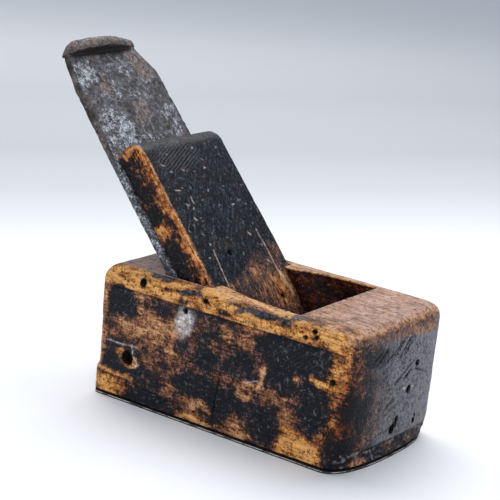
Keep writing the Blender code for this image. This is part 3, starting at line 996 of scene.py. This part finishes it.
# Scratches on its front: both ends and how far they fade out to each side.
WEDGE_LINES = (
    ((-1, -15.8, 0), (-18, -17.6, 0), 0.54),
    ((3.5, 18.3, 0), (-18, 19.0, 0), 0.54),
    ((-18, 19.2, 0), (-30, 22.0, 0), 1.2),
    ((29.2, -20, 0), (28.8, -17, 0), 0.54),
    ((15, -17.2, 0), (14, -16.4, 0), 0.84),
    ((38, -9, 0), (37.4, -8.2, 0), 0.6),
    ((36.5, 5.3, 0), (36.8, 6.2, 0), 0.72),
    ((17, 11, 0), (17.2, 13, 0), 0.48),
    ((3, 12, 0), (1.6, 13, 0), 0.72),
    ((2, -15.6, 0), (1.8, -16, 0), 0.6),
    ((-4, -21, 0), (-3.8, -20, 0), 0.48),
    ((22, -13, 0), (25, -12.4, 0), 0.48),
    ((19, -15, 0), (20, -14, 0), 0.48),
    ((42, -21, 0), (41, -19, 0), 0.48),
)
# Holes in its front: place and radii.
WEDGE_HOLES = (
    ((-4, -6, 0), (1.3, 1.3, 2.0)),
    ((-29, 15.5, 0), (1.2, 1.6, 2.0)),
)
NICK_COUNT = 48


def wedge_zones(bed, normals):
    """The wedge's side, front and edges as soft masks."""
    out = normals @ BED_OUT
    flat = np.maximum(np.abs(normals[:, 1]), np.maximum(np.abs(out), np.abs(normals @ BED_UP)))
    front = smoothstep(0.5, 0.9, out)
    near = smoothstep(-25.8, -27.0, bed[:, 1])
    return {
        "side": smoothstep(0.5, 0.9, np.abs(normals[:, 1])),
        "front": front,
        "rim": smoothstep(0.03, 0.25, 1.0 - flat),
        "arris": near * smoothstep(15.5, 17.0, bed[:, 2]),
    }


def nicks(face):
    """Small pale nicks scattered over the wedge's front."""
    places = np.random.default_rng(7).uniform((-12, -25), (48, 24), (NICK_COUNT, 2))
    marks = np.zeros(len(face))
    for i, (up, across) in enumerate(places):
        length = 0.2 + 0.8 * (i % 4) / 3
        end = (up + length * (i % 3 - 1), across + length, 0.0)
        nick = groove(face, (up, across, 0.0), end, 0.50) * (0.15 + 0.14 * (i % 5))
        marks = np.maximum(marks, nick)
    return marks


def wedge_marks(bed, zones):
    """Scratches, nicks, holes and a blade's ripples on the wedge's front."""
    face = bed * np.array((1.0, 1.0, 0.0))
    lines = np.zeros(len(face))
    for start, end, half_width in WEDGE_LINES:
        lines = np.maximum(lines, groove(face, start, end, half_width))
    holes = np.zeros(len(face))
    for centre, size in WEDGE_HOLES:
        holes = np.maximum(holes, blob(face, centre, size, 0.3))
    marks = {
        "lines": lines,
        "nicks": np.maximum(lines * 0.65, nicks(face)),
        "holes": holes,
        "ripples": blob(face, (44.5, -9.0, 0.0), (6.5, 13.0, 1.0), 0.4),
    }
    return {name: values * zones["front"] for name, values in marks.items()}


def sculpt_wedge(points, normals, bed, zones, marks):
    """Unevenness, chipped edges, marks and a slightly crooked outline."""
    free = smoothstep(4.8, 6.8, bed[:, 2])
    chips = np.maximum(0.0, layered_noise(points, 4.0 * MM, 121, 2) - 0.1)
    move = layered_noise(points, 16 * MM, 111, 3) * 0.18 * free - chips * zones["rim"] * 0.9
    move -= marks["lines"] * 0.15 + marks["holes"] * 1.5
    moved = points + normals * move[:, None] * MM
    lean = smoothstep(10, 26, bed[:, 1]) - smoothstep(0, 50, bed[:, 0]) * 0.5
    moved[:, 1] += 0.4 * MM * lean
    return moved


def wedge_masks(points, bed, zones, marks):
    """Every mask that the wood's material reads, for the wedge."""
    lines = marks["lines"]
    ragged = bed_places(warped(points, 4 * MM, 2.0 * MM, 161))
    wear = 0.36 + 0.03 * zones["side"] + 0.26 * layered_noise(points, 7 * MM, 131, 4)
    wear += 0.06 * zones["rim"] + 0.38 * zones["arris"]
    wear += 0.40 * zones["side"] * layered_noise(points, 1.7 * MM, 171, 2)
    bare = smoothstep(-10.0, -15.0, ragged[:, 0] - 0.35 * ragged[:, 1])
    cover = (1.0 - bare * 0.92) * (1.0 - zones["arris"] * 0.9) * (1.0 - lines)
    golden = np.maximum(blob(ragged, (-27, 19, 18), (9, 8, 7)) * 0.9, lines * 0.7)
    arris = zones["rim"] * smoothstep(-24.5, -26.0, bed[:, 1]) * smoothstep(13.0, 15.0, bed[:, 2])
    return {
        "wear": np.maximum(paint(ragged, wear, WEDGE_PATCHES, 1.0), lines),
        "gold": zones["side"] * 0.75 + zones["arris"] + golden,
        "red": 0.35 * zones["side"],
        "film": np.maximum(zones["front"], zones["rim"] * (1.0 - zones["side"])) * cover,
        "dust_and_sheen": zones["front"] * bare * 0.10,
        "pale": np.maximum(marks["nicks"], arris * 0.30),
        # Painted shade in the wedge's holes.
        "pit": marks["holes"],
        # An even painted reflection on the wedge's polish.
        "painted_sheen": np.full(len(points), 0.5),
        "hatch": marks["ripples"],
    }


def build_wedge(material):
    piece = fine_copy("wedge", "worn_wedge", WEDGE_VOXEL, 4)
    points = read_points(piece.data)
    normals = read_normals(piece.data)
    bed = bed_places(points)
    zones = wedge_zones(bed, normals)
    marks = wedge_marks(bed, zones)
    write_points(piece.data, sculpt_wedge(points, normals, bed, zones, marks))
    write_masks(piece.data, wedge_masks(points, bed, zones, marks))
    finish_piece(piece, "wedge", "wedge", material)


# Bright flaked steel, partly painted reflection of the bright room, and brown rust on the iron: place,
# sizes and how much they add.
BRIGHT_AND_REFLECTION_PATCHES = (
    ((68, -17, 4), (9, 10, 6), 1.2),
    ((61, -6, 4), (4, 9, 6), 1.1),
    ((97, -18, 4), (7, 8, 6), 0.7),
    ((88, -22, 4), (6, 4, 6), 0.4),
    ((84, 4, 4), (4, 5, 6), 0.55),
    ((90, 20, 4), (4, 5, 6), 0.45),
    ((68, 21, 4), (9, 5, 6), 0.5),
    ((98, 5, 4), (6, 6, 6), 0.4),
    ((85, -9, 4), (5, 4, 6), 0.6),
    ((28, -28, 3), (32, 4, 8), 1.3),
)
RUST_PATCHES = (
    ((89, -11, 4), (7, 4, 6), 0.45),
    ((98, 19, 4), (9, 6, 6), 0.50),
    ((75, 3, 4), (8, 8, 6), 0.42),
    ((83, -26, 4), (4, 5, 6), 0.40),
    ((105, 0, 4), (3.0, 24, 6), 0.30),
)
# Places up the bed where the iron's corners are clipped and where its head begins.
SHOULDER = 93.0
NECK = 106.5
# Middle and half width of the hammered lip, across the head.
LIP_MIDDLE = -1.0
LIP_HALF = 20.5


def sculpt_iron(points, normals, bed, edges, head):
    """Pits, worn edges, the hammered lip and the crooked head."""
    pits = np.maximum(0.0, layered_noise(points, 2.2 * MM, 211, 2) - 0.05)
    move = -pits * 0.25 * (1.0 - head)
    move += edges * layered_noise(points, 7 * MM, 221, 3) * 0.35
    move += head * layered_noise(points, 4 * MM, 231, 2) * 0.25
    lip = head * np.clip(1.0 - ((bed[:, 1] - LIP_MIDDLE) / LIP_HALF) ** 2, 0.0, 1.0)
    lip *= smoothstep(3.0, 4.5, bed[:, 2])
    rise = head * (bed[:, 0] - NECK)
    lift = -0.3 * lip * smoothstep(NECK + 5.0, NECK + 1.0, bed[:, 0]) - 0.16 * rise
    lift -= rise / 6.0 * (bed[:, 1] / 22.0 + 0.9 * np.maximum(0.0, -17.5 - bed[:, 1]))
    moved = points + normals * move[:, None] * MM
    moved += BED_OUT * (lip * 2.0 * MM)[:, None] + BED_UP * (lift * MM)[:, None]
    moved[:, 1] -= 2.1 * MM * smoothstep(SHOULDER, NECK, bed[:, 0])
    return moved


def iron_grime_and_shadow(points, bed, edges, head):
    """Black under the lip as painted shadow, the head's ends made darker, and black dirt in streaks
    along the edges.
    """
    # Painted shadow of the lip on the blade just below it.
    above = bed[:, 0] - NECK
    under = smoothstep(-2.4, -0.8, above) * (1.0 - smoothstep(0.6, 1.2, above))
    under *= smoothstep(2.5, 3.5, bed[:, 2]) * (1.0 - smoothstep(19.0, 23.0, np.abs(bed[:, 1] + 1.0)))
    ears = head * smoothstep(18.5, 20.5, np.abs(bed[:, 1])) * 0.6
    streaks = edges * smoothstep(-0.5, 0.2, layered_noise(points, 5 * MM, 241, 3))
    streaks *= 0.3 + 0.6 * smoothstep(45, 60, bed[:, 0])
    arris = smoothstep(26.2, 27.4, np.abs(bed[:, 1])) * smoothstep(50, 62, bed[:, 0]) * 0.35
    return np.max((under, ears, streaks, arris), axis=0)


def iron_masks(points, bed, edges, head):
    """Every mask that the steel's material reads."""
    ragged = bed_places(warped(points, 4 * MM, 2.2 * MM, 261))
    rust = 0.02 + edges * 0.5 * smoothstep(45, 60, bed[:, 0]) + head * 0.8
    return {
        "bright": paint(ragged, -0.5 * edges, BRIGHT_AND_REFLECTION_PATCHES, 1.0),
        "rust": paint(ragged, rust, RUST_PATCHES, 1.0),
        "grime_and_shadow": iron_grime_and_shadow(points, bed, edges, head),
    }


def build_iron(material):
    piece = fine_copy("plane_iron", "worn_iron", IRON_VOXEL, 1)
    points = read_points(piece.data)
    normals = read_normals(piece.data)
    bed = bed_places(points)
    edges = smoothstep(0.3, 0.8, np.abs(normals[:, 1]))
    head = smoothstep(NECK - 0.2, NECK + 0.5, bed[:, 0])
    write_points(piece.data, sculpt_iron(points, normals, bed, edges, head))
    write_masks(piece.data, iron_masks(points, bed, edges, head))
    finish_piece(piece, "plane_iron", "iron", material)


def build_sole_plate(material):
    piece = copy_of("sole_plate", "worn_sole_plate")
    bevel = piece.modifiers.new("worn edges", "BEVEL")
    bevel.width = 0.20 * MM
    bevel.segments = 2
    bevel.limit_method = "ANGLE"
    bevel.angle_limit = radians(50)
    apply_modifiers(piece)
    finish_piece(piece, "sole_plate", "stock", material)
    piece.data.set_sharp_from_angle(angle=radians(40))


def dress_screws(material):
    """The screws keep their CAD meshes and take the sole plate's steel."""
    for name, node in frame["nodes"].items():
        if name.startswith("sole_screw"):
            node.data.materials.clear()
            node.data.materials.append(material)


# Stage, lights and camera.

def camera_axes():
    """The camera's right, up and backward directions from its angles."""
    azimuth, elevation, roll = map(radians, (CAMERA_AZIMUTH, CAMERA_ELEVATION, CAMERA_ROLL))
    back = Vector((
        sin(azimuth) * cos(elevation),
        -cos(azimuth) * cos(elevation),
        sin(elevation),
    ))
    right = Vector((cos(azimuth), sin(azimuth), 0.0))
    up = back.cross(right)
    return (
        right * cos(roll) + up * sin(roll),
        up * cos(roll) - right * sin(roll),
        back,
    )


def add_camera():
    low, high = cad_bounds
    aim = (low + high) / 2 + AIM_OFFSET
    right, up, back = camera_axes()
    camera = bpy.data.objects.new("camera", bpy.data.cameras.new("camera"))
    bpy.context.scene.collection.objects.link(camera)
    camera.data.lens = CAMERA_LENS
    camera.data.clip_start = 0.05
    camera.data.clip_end = 20.0
    place = Matrix((right, up, back)).transposed().to_4x4()
    place.translation = aim + back * CAMERA_DISTANCE
    camera.matrix_world = place
    bpy.context.scene.camera = camera


def floor_material():
    """Pale paper with a band of painted shade that greys it behind the object."""
    shader = Shader("pale_floor")
    turn = (0.0, 0.0, -radians(CAMERA_AZIMUTH + FLOOR_TURN))
    places = shader.turned((1.0, 1.0, 1.0), turn)
    behind = shader.node("ShaderNodeSeparateXYZ", {"Vector": places}).outputs["Y"]
    colour = shader.ramp(shader.math("DIVIDE", behind, FLOOR_REACH), FLOOR_PAPER_AND_SHADE_TONES)
    normal = shader.bump(shader.noise(900.0), 0.02 * MM)
    return shader.finish(colour, 0.7, normal, specular=FLOOR_SPECULAR)


def add_floor():
    mesh = bmesh.new()
    bmesh.ops.create_grid(mesh, x_segments=1, y_segments=1, size=FLOOR_SIZE / 2)
    data = bpy.data.meshes.new("floor")
    mesh.to_mesh(data)
    mesh.free()
    floor = link("floor", data)
    data.materials.append(floor_material())


def add_area(name, place, size, power, colour):
    light = bpy.data.lights.new(name, "AREA")
    light.shape = "RECTANGLE"
    light.size, light.size_y = size
    light.energy = power
    light.color = colour
    lamp = bpy.data.objects.new(name, light)
    bpy.context.scene.collection.objects.link(lamp)
    lamp.location = place
    lamp.rotation_euler = (Vector(LIGHTS_AIM) - Vector(place)).to_track_quat("-Z", "Y").to_euler()


def add_lights():
    world = bpy.data.worlds.new("studio")
    world.use_nodes = True
    sky = world.node_tree.nodes["Background"]
    sky.inputs["Color"].default_value = (*WORLD_COLOUR, 1.0)
    sky.inputs["Strength"].default_value = WORLD_STRENGTH
    bpy.context.scene.world = world
    add_area("top_softbox", *TOP_SOFTBOX)
    add_area("front_fill", *FRONT_FILL)


def main():
    sole_steel = sole_material("sole_steel")
    build_stock(wood_material("stock_wood", POLISH_AND_REFLECTION_TONES, STOCK_TURNS, STOCK_GRAIN, STOCK_RELIEF))
    build_wedge(wood_material("wedge_wood", WEDGE_POLISH_AND_REFLECTION_TONES, WEDGE_TURNS, WEDGE_GRAIN, WEDGE_RELIEF))
    build_iron(steel_material("iron_steel"))
    build_sole_plate(sole_steel)
    dress_screws(sole_steel)
    add_floor()
    add_lights()
    add_camera()
    bpy.context.scene.view_settings.view_transform = "Standard"


main()
